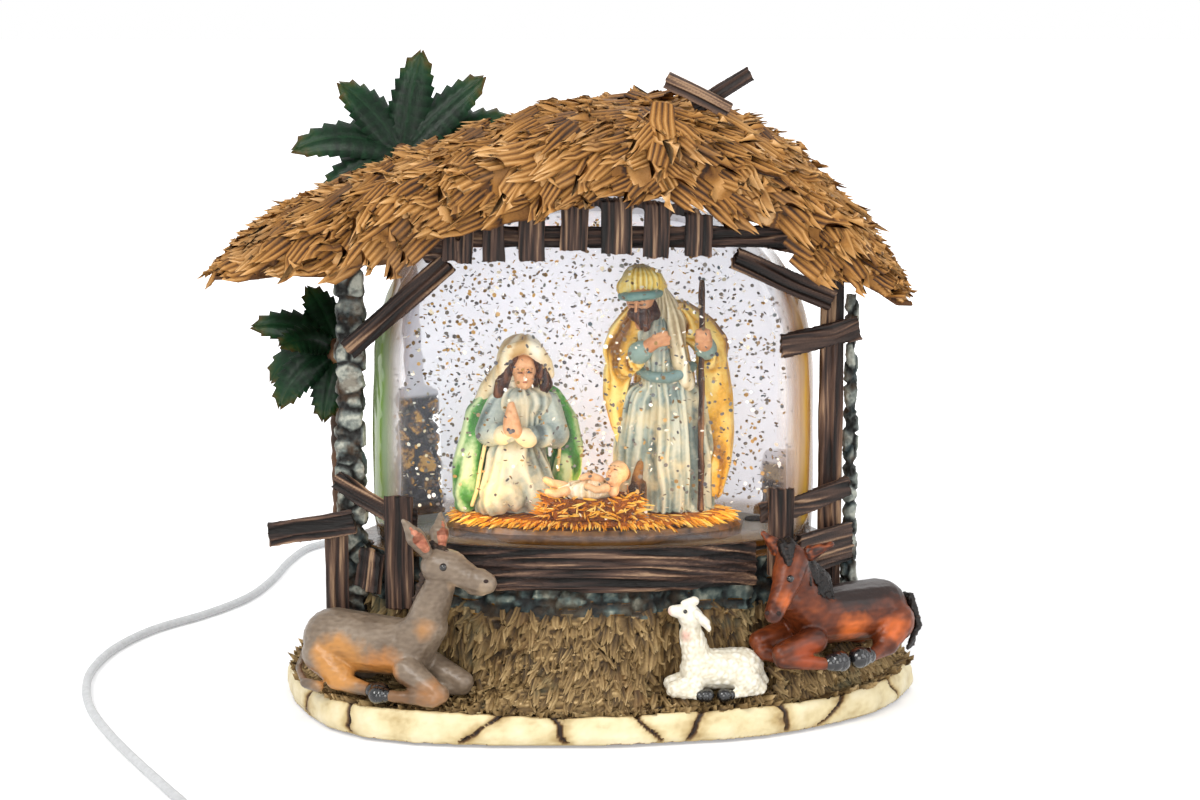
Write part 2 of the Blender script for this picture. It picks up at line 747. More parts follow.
def make_man():
    h = man_height
    x, y = man_place
    level = mat_top() + seat_gap

    def at(dx, dy, dz):
        return (x + dx * h, y + dy * h, level + dz * h)

    shapes = [
        (at(-0.02, 0.0, 0.08), at(0.0, 0.0, 0.40), 0.135 * h, 0.10 * h),
        (at(0.07, 0.02, 0.07), at(0.05, 0.02, 0.45), 0.10 * h, 0.09 * h),
        (at(0.15, 0.03, 0.09), at(0.13, 0.04, 0.62), 0.075 * h, 0.08 * h),
        (at(0.0, 0.0, 0.40), at(-0.01, 0.01, 0.66), 0.10 * h, 0.115 * h),
        (at(-0.01, 0.01, 0.66), at(0.03, 0.02, 0.72), 0.115 * h, 0.085 * h),
        (at(-0.125, 0.01, 0.68), at(-0.145, -0.02, 0.50), 0.062 * h, 0.056 * h),
        (at(-0.145, -0.02, 0.50), at(-0.02, -0.105, 0.63), 0.05 * h, 0.030 * h),
        (at(-0.02, -0.105, 0.63), at(0.03, -0.105, 0.67), 0.028 * h, 0.020 * h),
        (at(0.12, 0.01, 0.68), at(0.20, -0.03, 0.55), 0.062 * h, 0.056 * h),
        (at(0.20, -0.03, 0.55), at(0.205, -0.075, 0.66), 0.046 * h, 0.026 * h),
        (at(-0.03, 0.0, 0.80), at(-0.05, -0.01, 0.88), 0.05 * h, 0.05 * h),
        (at(-0.06, -0.025, 0.885), at(-0.055, -0.02, 0.90), 0.060 * h, 0.063 * h),
        (at(-0.07, -0.045, 0.82), at(-0.06, -0.03, 0.86), 0.034 * h, 0.045 * h),
        (at(-0.055, -0.01, 0.93), at(-0.045, 0.0, 0.945), 0.080 * h, 0.070 * h),
        (at(0.0, 0.03, 0.88), at(0.07, 0.03, 0.70), 0.045 * h, 0.060 * h),
    ]
    staff_gap = cutter(rod("staff_gap", (*staff_place, level - 0.01), (*staff_place, level + staff_height + 0.01),
                           staff_radius + seat_gap, wood_dark))
    man = body_of("standing_man", shapes, ochre_robe, 0.0014, 560, [floor_cut("man_cut", level), staff_gap])
    rings = []
    for z, size in ((0.0, 1.0), (0.35, 0.86), (0.6, 1.05), (0.85, 0.84), (1.0, 1.1)):
        rings.append(oval(staff_place, 1.94 * staff_radius * size * 0.9, 1.94 * staff_radius * size * 0.9,
                          level + staff_height * z, 10))
    loft("staff", rings, wood_dark)
    return man


def make_manger():
    level = mat_top() + seat_gap
    length, depth, height = manger_length, manger_depth, manger_height
    count = 22
    rings = [
        oval(manger_place, length * 0.84, depth * 0.80, level, count, 3),
        oval(manger_place, length * 0.92, depth * 0.95, level + height * 0.45, count, 3),
        oval(manger_place, length, depth * 1.05, level + height, count, 3),
        oval(manger_place, length * 0.82, depth * 0.84, level + height * 0.98, count, 3),
        oval(manger_place, length * 0.72, depth * 0.66, level + height * 0.55, count, 3),
    ]
    for ring in rings[1:4]:
        for index, point in enumerate(ring):
            point.z += 0.0006 * wave(index * 1.8, 4.0)
    loft("manger", rings, straw_dark, smooth_angle=25)
    bed = level + height * 0.55 + seat_gap
    x, y = manger_place
    k = manger_length

    def at(dx, dy, dz):
        return (x + dx * k, y + dy * k, bed + dz * k - 1.7 * press)

    shapes = [
        (at(0.02, 0.0, 0.13), at(0.16, 0.0, 0.16), 0.10 * k, 0.105 * k),
        (at(0.26, 0.0, 0.27), at(0.27, 0.0, 0.28), 0.085 * k, 0.088 * k),
        (at(0.02, -0.03, 0.12), at(-0.20, -0.05, 0.12), 0.075 * k, 0.045 * k),
        (at(0.02, 0.03, 0.14), at(-0.19, 0.04, 0.15), 0.07 * k, 0.042 * k),
        (at(0.16, -0.09, 0.19), at(0.05, -0.10, 0.24), 0.04 * k, 0.03 * k),
        (at(0.16, 0.09, 0.20), at(0.08, 0.09, 0.30), 0.04 * k, 0.03 * k),
    ]
    body_of("infant", shapes, white_cloth, 0.0009, 240, [floor_cut("infant_cut", bed)])


# Stirring drive

def well_floor():
    return podium_top + seat_gap - well_depth + well_wall


def make_impeller():
    """Hub with straight vanes, turning on the pin of the well."""
    per_vane = 4
    count = vane_count * per_vane
    bottom = well_floor() + 0.0012
    top = bottom + impeller_height
    low = []
    for step in range(count):
        turn = 2 * math.pi * step / count
        radius = impeller_radius if step % per_vane in (0, 1) else impeller_hub
        squeeze = 0.62 if step % per_vane == 1 else 1.0
        turn = turn if step % per_vane != 1 else 2 * math.pi * (step - 1 + 0.35 * squeeze) / count
        low.append((radius * math.cos(turn), radius * math.sin(turn)))
    bore = pin_radius + seat_gap
    rings = []
    for points, z in ((None, bottom), (low, bottom), (low, top), (None, top)):
        ring = []
        for step in range(count):
            if points is None:
                ring.append(Vector((bore * math.cos(math.atan2(low[step][1], low[step][0])),
                                    bore * math.sin(math.atan2(low[step][1], low[step][0])), z)))
            else:
                ring.append(Vector((*points[step], z)))
        rings.append(ring)
    impeller = loft("impeller", rings, white_plastic, joined=True, smooth_angle=30)
    impeller.location = (*tank_middle, 0)
    return impeller


def magnet_top():
    return podium_top + seat_gap - well_depth - magnet_clearance


def motor_top():
    return magnet_top() - magnet_height - 0.0015


def make_drive():
    top = magnet_top()
    bottom = top - magnet_height
    count = 18
    rings = [oval((0, 0), 2 * r, 2 * r, z, count) for r, z in
             ((shaft_radius, motor_top() - 0.006), (shaft_radius, bottom - 0.001), (0.003, bottom - 0.001),
              (0.003, bottom), (magnet_radius - 0.0005, bottom), (magnet_radius, bottom + 0.0005),
              (magnet_radius, top - 0.0005), (magnet_radius - 0.0005, top))]
    magnet = loft("drive_magnet", rings, dark_metal)
    magnet.location = (*tank_middle, 0)
    base = motor_top() - motor_length
    rings = [oval(tank_middle, 2 * r, 2 * r, z, count) for r, z in
             ((0.0035, base), (motor_radius - 0.0008, base), (motor_radius, base + 0.0008),
              (motor_radius, motor_top() - 0.0022), (motor_radius - 0.0008, motor_top() - 0.0014),
              (0.003, motor_top() - 0.0014), (0.003, motor_top()), (shaft_radius + seat_gap, motor_top()),
              (shaft_radius + seat_gap, motor_top() - 0.0068))]
    loft("motor", rings, steel)
    inner = motor_radius + seat_gap
    outer = motor_radius + tower_wall
    floor = cover_top() + seat_gap
    shelf = base - seat_gap
    rings = [oval(tank_middle, 2 * r, 2 * r, z, count) for r, z in
             ((outer + 0.004, floor), (outer + 0.004, floor + 0.002), (outer, floor + 0.003), (outer, shelf + 0.016),
              (inner, shelf + 0.016), (inner, shelf), (inner - 0.003, shelf), (inner - 0.003, floor))]
    tower = loft("motor_tower", rings, black_plastic, joined=True)
    slot = cutter(block("lead_slot", (tank_middle[0] - 0.002, tank_middle[1], floor + 0.0045),
                        (tank_middle[0] + 0.002, tank_middle[1] + 0.03, shelf - 0.0025), black_plastic))
    change_with(tower, slot, "DIFFERENCE")


def led_post_places():
    radius = led_board_radius - 0.0045
    result = []
    for step in range(4):
        angle = math.pi / 4 + math.pi / 2 * step
        result.append((tank_middle[0] + radius * math.cos(angle), tank_middle[1] + radius * math.sin(angle)))
    return result


def led_board_bottom():
    return podium_top - 0.013


def make_led_board():
    """Ring-shaped board round the well, with square lamps on top, on four posts of the cover."""
    count = led_count * 4
    inner = well_radius + 0.0025
    bottom = led_board_bottom()
    top = bottom + led_board_thickness
    bm = bmesh.new()
    loops = []
    for radius, z in ((inner, bottom), (led_board_radius, bottom), (led_board_radius, top)):
        loops.append([bm.verts.new(p) for p in oval(tank_middle, 2 * radius, 2 * radius, z, count)])
    mid_out = (inner + led_board_radius + led_size) / 2
    mid_in = (inner + led_board_radius - led_size) / 2
    for radius in (mid_out, mid_in, inner):
        loops.append([bm.verts.new(p) for p in oval(tank_middle, 2 * radius, 2 * radius, top, count)])
    for first, second in zip(loops, loops[1:]):
        bridge(bm, first, second)
    bridge(bm, loops[-1], loops[0])
    bm.faces.ensure_lookup_table()
    lamps = [f for f in bm.faces if f.calc_center_median().z > top - 1e-5
             and mid_in < (f.calc_center_median().xy - Vector(tank_middle)).length < mid_out]
    bmesh.ops.recalc_face_normals(bm, faces=bm.faces[:])
    chosen = []
    for face in lamps:
        offset = face.calc_center_median().xy - Vector(tank_middle)
        step = round(math.atan2(offset.y, offset.x) % (2 * math.pi) / (2 * math.pi) * count - 0.5)
        if step % 4 == 0:
            chosen.append(face)
    for face in chosen:
        raised = bmesh.ops.extrude_discrete_faces(bm, faces=[face])["faces"]
        bmesh.ops.translate(bm, verts=list({v for f in raised for v in f.verts}), vec=(0, 0, 0.0014))
    return finish_mesh("led_board", bm, circuit_green, 30)


# Underside

def box_size():
    width = cell_count * (2 * cell_radius + cell_clearance) + cell_clearance
    length = cell_length + 2 * cell_clearance
    height = 2 * cell_radius + 2 * cell_clearance
    return width, length, height


def make_underside():
    bottom = foot_height + seat_gap
    top = cover_top()
    count = 30
    rings = [[Vector((p.x, p.y, z)) for p in cover_outline(count, 0)] for z in (bottom, top)]
    cover = loft("bottom_cover", rings, black_plastic)
    width, length, height = box_size()
    x, y = battery_middle
    door_half = (width / 2 - 0.001, length / 2 - 0.001)
    window = cutter(block("door_window", (x - door_half[0], y - door_half[1], bottom - 0.01),
                          (x + door_half[0], y + door_half[1], top + 0.01), black_plastic))
    change_with(cover, window, "DIFFERENCE")
    for number, (px, py) in enumerate(led_post_places()):
        post = cutter(rod("led_post_%d" % number, (px, py, top - 0.001),
                          (px, py, led_board_bottom() - seat_gap), 0.0024, black_plastic, 10))
        change_with(cover, post, "UNION")
    sx, sy = switch_place
    slot = cutter(block("switch_slot", (sx - (knob_size[0] + switch_travel) / 2 - 0.0003, sy - knob_size[1] / 2 - 0.0003,
                                        bottom - 0.01),
                        (sx + (knob_size[0] + switch_travel) / 2 + 0.0003, sy + knob_size[1] / 2 + 0.0003,
                         top + 0.01), black_plastic))
    change_with(cover, slot, "DIFFERENCE")

    floor = top + seat_gap
    w, l, h = width / 2, length / 2, height
    outer_w, outer_l = w + box_wall, l + box_wall
    rings = []
    for half_w, half_l, z in ((w, l, floor), (outer_w, outer_l, floor), (outer_w, outer_l, floor + h + box_wall),):
        rings.append([Vector((x + a * half_w, y + b * half_l, z)) for a, b in ((1, 1), (-1, 1), (-1, -1), (1, -1))])
    bm = bmesh.new()
    loops = [[bm.verts.new(p) for p in ring] for ring in rings]
    ceiling = [bm.verts.new((x + a * w, y + b * l, floor + h)) for a, b in ((1, 1), (-1, 1), (-1, -1), (1, -1))]
    bridge(bm, loops[0], loops[1])
    bridge(bm, loops[1], loops[2])
    bm.faces.new(loops[2])
    bridge(bm, loops[0], ceiling)
    bm.faces.new(ceiling)
    finish_mesh("battery_box", bm, black_plastic)
    for number in range(cell_count):
        cx = x - w + cell_clearance + cell_radius + number * (2 * cell_radius + cell_clearance)
        cz = floor + cell_clearance + cell_radius
        sign = 1 if number % 2 else -1
        rings = []
        for r, along in ((cell_radius, -cell_length / 2), (cell_radius, cell_length / 2 - 0.0025),
                         (cell_radius - 0.0012, cell_length / 2 - 0.0015), (0.0027, cell_length / 2 - 0.0015),
                         (0.0027, cell_length / 2)):
            ring = []
            for step in range(14):
                angle = 2 * math.pi * step / 14
                ring.append(Vector((cx + r * math.cos(angle), y + sign * along, cz + r * math.sin(angle))))
            rings.append(ring)
        loft("cell_%d" % (number + 1), rings, cell_skin)
    hinge_y = y - door_half[1] + door_clearance
    bm = bmesh.new()
    bmesh.ops.create_cube(bm, size=1.0)
    door_width = 2 * (door_half[0] - door_clearance)
    door_length = 2 * (door_half[1] - door_clearance)
    for vert in bm.verts:
        vert.co = Vector((vert.co.x * door_width, (vert.co.y + 0.5) * door_length,
                          (vert.co.z + 0.5) * cover_thickness))
    lower = [f for f in bm.faces if f.calc_center_median().z < 1e-6]
    bmesh.ops.inset_region(bm, faces=lower, thickness=0.004, use_even_offset=True)
    bmesh.ops.translate(bm, verts=list({v for f in lower for v in f.verts}), vec=(0, 0, 0.0006))
    door = finish_mesh("battery_door", bm, black_plastic, 30)
    door.location = (x, hinge_y, bottom)

    half_body = ((knob_size[0] + switch_travel) / 2 + 0.0025, knob_size[1] / 2 + 0.002)
    knob_top = top + seat_gap + 0.0015
    bm = bmesh.new()
    frame = [(1, 1), (-1, 1), (-1, -1), (1, -1)]
    slot_half = ((knob_size[0] + switch_travel) / 2 + 0.0003, knob_size[1] / 2 + 0.0003)
    loops = []
    for half, z in ((slot_half, top + seat_gap), (half_body, top + seat_gap), (half_body, top + seat_gap + 0.005)):
        loops.append([bm.verts.new((sx + a * half[0], sy + b * half[1], z)) for a, b in frame])
    pocket = [bm.verts.new((sx + a * slot_half[0], sy + b * slot_half[1], knob_top + 0.0004)) for a, b in frame]
    bridge(bm, loops[0], loops[1])
    bridge(bm, loops[1], loops[2])
    bm.faces.new(loops[2])
    bridge(bm, loops[0], pocket)
    bm.faces.new(pocket)
    finish_mesh("switch_body", bm, black_plastic)
    knob = block("switch_knob", (-knob_size[0] / 2, -knob_size[1] / 2, bottom + 0.0003 - knob_top),
                 (knob_size[0] / 2, knob_size[1] / 2, 0), white_plastic)
    knob.location = (sx - switch_travel / 2, sy, knob_top)

    for number, (fx, fy) in enumerate(foot_places()):
        rings = [oval((fx, fy), 2 * r, 2 * r, z, 14) for r, z in
                 ((foot_radius - 0.0003, 0), (foot_radius, 0.0003), (foot_radius, bottom + 0.001))]
        foot = cutter(loft("moulded_foot_%d" % (number + 1), rings, black_plastic))
        change_with(cover, foot, "UNION")


def foot_places():
    result = []
    for sx, sy in ((-1, -1), (1, -1), (1, 1), (-1, 1)):
        result.append((podium_middle[0] + sx * podium_length * 0.31, podium_middle[1] + sy * podium_depth * 0.375))
    return result


# Inlet and cord

def make_inlet():
    mouth = jack_mouth()
    inner = mouth - jack_length
    count = 14

    def ring(radius, y):
        return [Vector((jack_x + radius * math.cos(2 * math.pi * s / count), y,
                        jack_height + radius * math.sin(2 * math.pi * s / count))) for s in range(count)]

    bore = plug_pin_radius + seat_gap
    rings = [ring(jack_radius, inner), ring(jack_radius, mouth + seat_gap), ring(jack_radius + 0.0012, mouth + seat_gap),
             ring(jack_radius + 0.0012, mouth + seat_gap + 0.0012), ring(bore, mouth + seat_gap + 0.0012),
             ring(bore, inner + 0.002)]
    loft("inlet_socket", rings, black_plastic)
    face = mouth + 2 * seat_gap + 0.0012
    rings = [ring(plug_pin_radius, inner + 0.0035), ring(plug_pin_radius, face), ring(0.0042, face),
             ring(0.0044, face + 0.010), ring(0.0038, face + 0.012), ring(0.0026, face + 0.020),
             ring(0.0021, face + 0.024)]
    loft("cord_plug", rings, pale_plastic)
    return face + 0.024


def cord_curve(name, points, smoothness):
    """A tube of the cord's thickness along a list of points."""
    data = bpy.data.curves.new(name, "CURVE")
    data.dimensions = "3D"
    data.bevel_depth = cord_diameter / 2
    data.bevel_resolution = smoothness
    data.use_fill_caps = True
    spline = data.splines.new("POLY")
    spline.points.add(len(points) - 1)
    for target, point in zip(spline.points, points):
        target.co = (*point, 1.0)
    data.materials.append(pale_plastic)
    thing = bpy.data.objects.new(name, data)
    bpy.context.collection.objects.link(thing)
    thing.parent = site
    return thing


def even_points(points, spacing):
    """The same route with points an even distance apart."""
    path = np.array(points)
    steps = np.linalg.norm(np.diff(path, axis=0), axis=1)
    reach = np.concatenate([[0], np.cumsum(steps)])
    count = max(2, round(reach[-1] / spacing))
    wanted = np.linspace(0, reach[-1], count + 1)
    return np.array([np.interp(wanted, reach, path[:, axis]) for axis in range(3)]).T


def coil_point(turns):
    """Middle of the cord after so many turns: in along the lower layer, out along the upper one."""
    half = coil_turns / 2
    outer = coil_radius + coil_pitch * half / 2
    inward = min(turns, half)
    outward = max(turns - half, 0.0)
    radius = outer - coil_pitch * inward + coil_pitch * outward
    climb = min(max((turns - half + 0.25) / 0.5, 0.0), 1.0)
    height = coil_rest + coil_layer * climb * climb * (3 - 2 * climb)
    angle = coil_start - 2 * math.pi * turns
    return np.array((coil_middle[0] + radius * math.cos(angle), coil_middle[1] + radius * math.sin(angle), height))


def least_gap(points):
    """Smallest gap of the tube to itself, leaving out its own neighbourhood."""
    path = np.array(points)
    skip = 6
    least = 1.0
    for index in range(len(path) - skip):
        start = path[index + skip:-1]
        step = path[index + skip + 1:] - start
        if not len(start):
            continue
        along = np.clip(((path[index] - start) * step).sum(1) / (step * step).sum(1), 0, 1)
        least = min(least, float(np.linalg.norm(start + step * along[:, None] - path[index], axis=1).min()))
    return least - cord_diameter


def make_cord(plug_end):
    start = coil_point(0.0)
    heading = coil_point(0.0) - coil_point(0.02)
    heading[2] = 0
    heading /= np.linalg.norm(heading)
    rest = cord_diameter / 2
    route = [(jack_x, plug_end + seat_gap, jack_height), (jack_x, plug_end + 0.010, jack_height - 0.0012)]
    route += [(x, y, rest) for x, y in cord_route]
    route += [tuple(start + heading * 0.016 + np.array((0, 0, rest - start[2]))),
              tuple(start + heading * cord_diameter), tuple(start + heading * seat_gap)]
    run = even_points(smooth_open(route, 12), 3 * cord_diameter)
    run[:, 2] = np.maximum(run[:, 2], rest)
    cord_curve("cord_run", run, 2)
    per_turn = 24
    count = round(coil_turns * per_turn)
    coil = [coil_point(step / per_turn) for step in range(count + 1)]
    away = coil[-1] - coil[-2]
    away[2] = 0
    away /= np.linalg.norm(away)
    end = coil[-1]
    tail = [end + away * 0.010 - np.array((0, 0, 0.0004)), end + away * 0.020 - np.array((0, 0, 0.0016)),
            end + away * 0.030 + np.array((0, 0, usb_level - end[2] + 0.0004)),
            end + away * 0.036 + np.array((0, 0, usb_level - end[2])),
            end + away * 0.040 + np.array((0, 0, usb_level - end[2]))]
    coil += tail
    cord_curve("cord_coil", coil, 1)
    length = sum(float(np.linalg.norm(b - a)) for line in (list(run), coil) for a, b in zip(line, line[1:]))
    print("cord: length %.4f m, least gap of the coil to itself %.2f mm" % (length, 1000 * least_gap(coil)))
    make_usb_plug(tail[-1] + away * seat_gap, away)
    make_tie()


def make_usb_plug(start, away):
    """Flat moulded grip with its metal shell, lying on the floor at the end of the cord."""
    side = np.array((-away[1], away[0], 0.0))
    up = np.array((0.0, 0.0, 1.0))

    def ring(along, half_width, half_height, power=4):
        points = []
        for step in range(20):
            angle = 2 * math.pi * step / 20
            c, s = math.cos(angle), math.sin(angle)
            reach = (abs(c) ** power + abs(s) ** power) ** (-1 / power)
            points.append(Vector(start + away * along + side * (half_width * reach * c) + up * (half_height * reach * s)))
        return points

    loft("usb_grip", [ring(0.0, 0.0024, 0.0024, 2), ring(0.009, 0.0032, 0.0030, 2.5), ring(0.012, 0.0062, 0.0040),
                      ring(0.030, 0.0062, usb_level), ring(0.0305, 0.0056, 0.0036)], pale_plastic)
    edge = 0.0305 + seat_gap
    loft("usb_shell", [ring(edge, 0.0060, 0.00225, 12), ring(edge + 0.0118, 0.0060, 0.00225, 12),
                       ring(edge + 0.0118, 0.0056, 0.00185, 12), ring(edge + 0.004, 0.0056, 0.00185, 12)], steel)


def make_tie():
    """Band round the turns of the coil."""
    angle = coil_start + math.pi * 0.62
    radial = np.array((math.cos(angle), math.sin(angle), 0.0))
    across = np.array((-radial[1], radial[0], 0.0))
    half = coil_turns / 2
    reach = coil_pitch * half / 2 + cord_diameter / 2 + coil_pitch * 0.62
    low = 0.0
    high = coil_rest + coil_layer + cord_diameter / 2 + 2 * seat_gap
    middle = np.array((*coil_middle, 0.0)) + radial * coil_radius
    hoops = []
    for grow, width in ((0.0, -1), (0.0, 1), (tie_thickness, 1), (tie_thickness, -1)):
        ring = []
        for corner in ((1, 1), (1, -1), (-1, -1), (-1, 1)):
            for turn in (0, 1, 2):
                bend = 0.0012 * (1 - turn / 2 if corner[0] == corner[1] else turn / 2)
                fall = 0.0012 * (turn / 2 if corner[0] == corner[1] else 1 - turn / 2)
                along = corner[0] * (reach + grow - bend)
                level = (high + grow - fall) if corner[1] > 0 else (low + tie_thickness - grow + fall)
                ring.append(Vector(middle + radial * along + across * (width * tie_width / 2) + np.array((0, 0, level))))
        hoops.append(ring)
    loft("cord_tie", hoops, black_plastic, joined=True)


# Stable frame

def roof_under(x):
    """Underside of the roof at x: over the tank's arch, and out along the eaves."""
    over_tank = arch_height(x) + seat_gap if abs(x - tank_middle[0]) < tank_width / 2 else 0
    if x < tank_middle[0]:
        eave = line_height(roof_eave_line, x)
    else:
        eave = line_height(roof_eave_right, x)
    return max(over_tank, eave)


def roof_over(x):
    smooth = smooth_open(roof_top_line, 4)
    return line_height([(p[0], p[1]) for p in smooth], x)


def make_roof():
    """Thatch in overlapping courses: an arched slab whose top steps down like combed tufts."""
    columns = 38
    rows = 9
    bm = bmesh.new()
    top = []
    low = []
    ridge = max(roof_top_line, key=lambda p: p[1])[0]
    for i in range(columns + 1):
        share = i / columns
        x = roof_left + (roof_right - roof_left) * share
        over = roof_over(x)
        under = roof_under(x)
        side = (x - ridge) / ((roof_right - ridge) if x > ridge else (ridge - roof_left))
        phase = (abs(side) * course_count) % 1.0
        row_top = []
        row_low = []
        for j in range(rows + 1):
            depth = j / rows
            y = roof_front + (roof_back - roof_front) * depth
            tuft = wave(i * 2.1, j * 2.9)
            jag = (phase + 0.28 * wave(j * 1.7, round(abs(side) * course_count) * 2.0)) % 1.0
            fall = 0.0065 * max(0.0, (0.16 - depth) / 0.16) ** 2 + 0.007 * max(0.0, (depth - 0.85) / 0.15) ** 2
            lift = course_step * (jag - 0.5) + 0.0008 * tuft
            ends = min(abs(i), columns - i)
            if ends == 0:
                lift *= 0.2
            edge = 0.0
            if j == 0:
                edge = -fringe_depth * 0.5 * (0.5 + 0.5 * wave(i * 2.7, 6.0))
            if j == rows:
                edge = fringe_depth * 0.4 * (0.5 + 0.5 * wave(i * 2.2, 9.0))
            z = max(over + lift - fall, under + 0.003)
            row_top.append(Vector((x, y + edge, z)))
        hang = min(line_height(roof_fringe_line, x), under + 0.002)
        hang += 0.0014 * wave(i * 2.9, 7.0)
        brow = row_top[0]
        for k in (2, 1):
            part = k / 3
            bulge = fringe_bulge * (0.6 + wave(i * 2.3 + k * 1.9, 3.0 * k))
            row_low.append(Vector((x, brow.y + (roof_front - 0.2 * fringe_depth - brow.y) * (1 - part) - bulge,
                                   hang + (brow.z - hang) * part)))
        row_low.append(Vector((x, roof_front - 0.2 * fringe_depth, hang)))
        row_low.append(Vector((x, roof_front + fringe_thickness - 0.0012, hang + 0.0012)))
        row_low.append(Vector((x, roof_front + fringe_thickness, under)))
        row_low.append(Vector((x, roof_back, under)))
        top.append([bm.verts.new(p) for p in row_top])
        low.append([bm.verts.new(p) for p in row_low])
    for i in range(columns):
        for j in range(rows):
            bm.faces.new((top[i][j], top[i + 1][j], top[i + 1][j + 1], top[i][j + 1]))
    for i in range(columns):
        for j in range(5):
            bm.faces.new((low[i][j], low[i][j + 1], low[i + 1][j + 1], low[i + 1][j]))
    for i in range(columns):
        bm.faces.new((top[i][0], low[i][0], low[i + 1][0], top[i + 1][0]))
        bm.faces.new([top[i + 1][rows], low[i + 1][5], low[i][5], top[i][rows]])
    for i in (0, columns):
        bm.faces.new(low[i][::-1] + top[i])
    roof = finish_mesh("thatch_roof", bm, thatch, 18)
    return roof


def make_pillar():
    """Left pillar of rough stones, each course wider in its middle than at its joints."""
    count = 8
    foot = pillar_foot() + seat_gap
    x, y = pillar_place
    top = min(roof_under(x + s * pillar_width * 0.55) for s in (-1, 0, 1)) - seat_gap
    rings = []
    for course in range(pillar_courses):
        low = foot + (top - foot) * course / pillar_courses
        high = foot + (top - foot) * (course + 1) / pillar_courses
        shift = 0.0008 * wave(course * 2.2, 1.0)
        for part, size in ((0.0, 0.86), (0.22, 1.0), (0.78, 1.02), (1.0, 0.86)):
            if course and part == 0.0:
                continue
            grow = size * (1 + 0.05 * wave(course * 1.7, part * 3))
            ring = oval((x + shift, y), pillar_width * grow, pillar_depth * grow, low + (high - low) * part, count, 4)
            if part in (0.22, 0.78):
                for index, point in enumerate(ring):
                    push = 1 + 0.04 * wave(index * 2.0, course * 1.3)
                    point.x = x + (point.x - x) * push
                    point.y = y + (point.y - y) * push
            rings.append(ring)
    return loft("stone_pillar", rings, stone, smooth_angle=30)


def make_stones(name, place, foot, size_of, courses, seed, material):
    """A stack of boulders, narrower towards its top."""
    width, depth, top = size_of
    count = 8
    rings = []
    for course in range(courses):
        low = foot + (top - foot) * course / courses
        high = foot + (top - foot) * (course + 1) / courses
        taper = 1 - 0.35 * course / courses
        for part, size in ((0.0, 0.80), (0.3, 1.0), (0.75, 0.98), (1.0, 0.78)):
            if course and part == 0.0:
                continue
            grow = size * taper * (1 + 0.08 * wave(course * 2.3 + seed, part * 2))
            ring = oval(place, width * grow, depth * grow, low + (high - low) * part, count, 3)
            if part in (0.3, 0.75):
                for index, point in enumerate(ring):
                    push = 1 + 0.05 * wave(index * 2.1 + seed, course * 1.9)
                    point.x = place[0] + (point.x - place[0]) * push
                    point.y = place[1] + (point.y - place[1]) * push
            rings.append(ring)
    return loft(name, rings, material, smooth_angle=30)


def make_rear_stones():
    """Boulders outside the tank, seen through it and beside the right post."""
    foot = rear_foot + seat_gap
    make_stones("rear_stone_stack", rear_stack_place, foot, rear_stack_size, 6, 1.0, stone)
    make_stones("rear_boulder", rear_boulder_place, foot, rear_boulder_size, 3, 4.0, stone)
    make_stones("right_stones", right_stones_place, post_foot() + seat_gap, right_stones_size, 6, 7.0, stone)


def make_frame():
    x, y = post_place
    foot = post_foot() + seat_gap
    top = min(roof_under(x + s * post_width * 0.6) for s in (-1, 0, 1)) - seat_gap
    plank("right_post", [(x, y, foot + (top - foot) * t) for t in (0, 0.2, 0.4, 0.6, 0.8, 1.0)],
          post_width, post_width * 0.9, wood, 2.0, Vector((1, 0, 0)), ragged=0.0)

    # Tie beam, bowed round the front of the tank from pillar to post
    ends = (pillar_place[1] - pillar_depth / 2 - beam_thickness / 2 - 4 * seat_gap,
            post_place[1] - post_width * 0.45 - beam_thickness / 2 - 4 * seat_gap)
    stations = []
    left = beam_left
    right = beam_right
    for step in range(13):
        share = step / 12
        bx = left + (right - left) * share
        bow = (2 * share - 1) ** 2
        by = beam_front() + beam_bow * bow
        stations.append((bx, by, beam_level(bx)))
    plank("tie_beam", stations, beam_height, beam_thickness, wood, 5.0)

    brace_y = ends[0] - 0.0004
    a = (pillar_place[0] + 0.0005, brace_y, 0.1325)
    b = (beam_left + 0.0085, beam_front() + 0.0055,
         beam_level(beam_left + 0.0085) - beam_height / 2 - brace_width * 0.62)
    plank("left_brace", [tuple(np.array(a) + (np.array(b) - np.array(a)) * t) for t in (0, 0.33, 0.66, 1)],
          brace_width, brace_thickness, wood, 7.0)
    a = (post_place[0] - 0.001, ends[1] - 0.0004, 0.1495)
    b = (beam_right - 0.0215, beam_front() + 0.0055,
         beam_level(beam_right - 0.0215) - beam_height / 2 - brace_width * 0.51)
    plank("right_brace", [tuple(np.array(a) + (np.array(b) - np.array(a)) * t) for t in (0, 0.33, 0.66, 1)],
          brace_width, brace_thickness, wood, 9.0)
    cross_y = post_place[1] - post_width * 0.45 - board_thickness / 2 - 2 * seat_gap
    plank("cross_plank", [(x - 0.0190, cross_y - 0.0095, 0.1340), (x - 0.0095, cross_y - 0.0050, 0.1355),
                          (x, cross_y, 0.1372), (x + 0.0090, cross_y, 0.1392)],
          rail_height, board_thickness, wood, 4.0)


def beam_front():
    """Middle of the tie beam where it passes the front of the dome."""
    level = beam_middle_z - beam_height / 2
    return tank_middle[1] - tank_depth / 2 * dome_share(level) - beam_thickness / 2 - 0.002


def beam_level(x):
    ceiling = roof_under(x) - beam_height / 2 - 7 * seat_gap
    return min(beam_middle_z, ceiling)


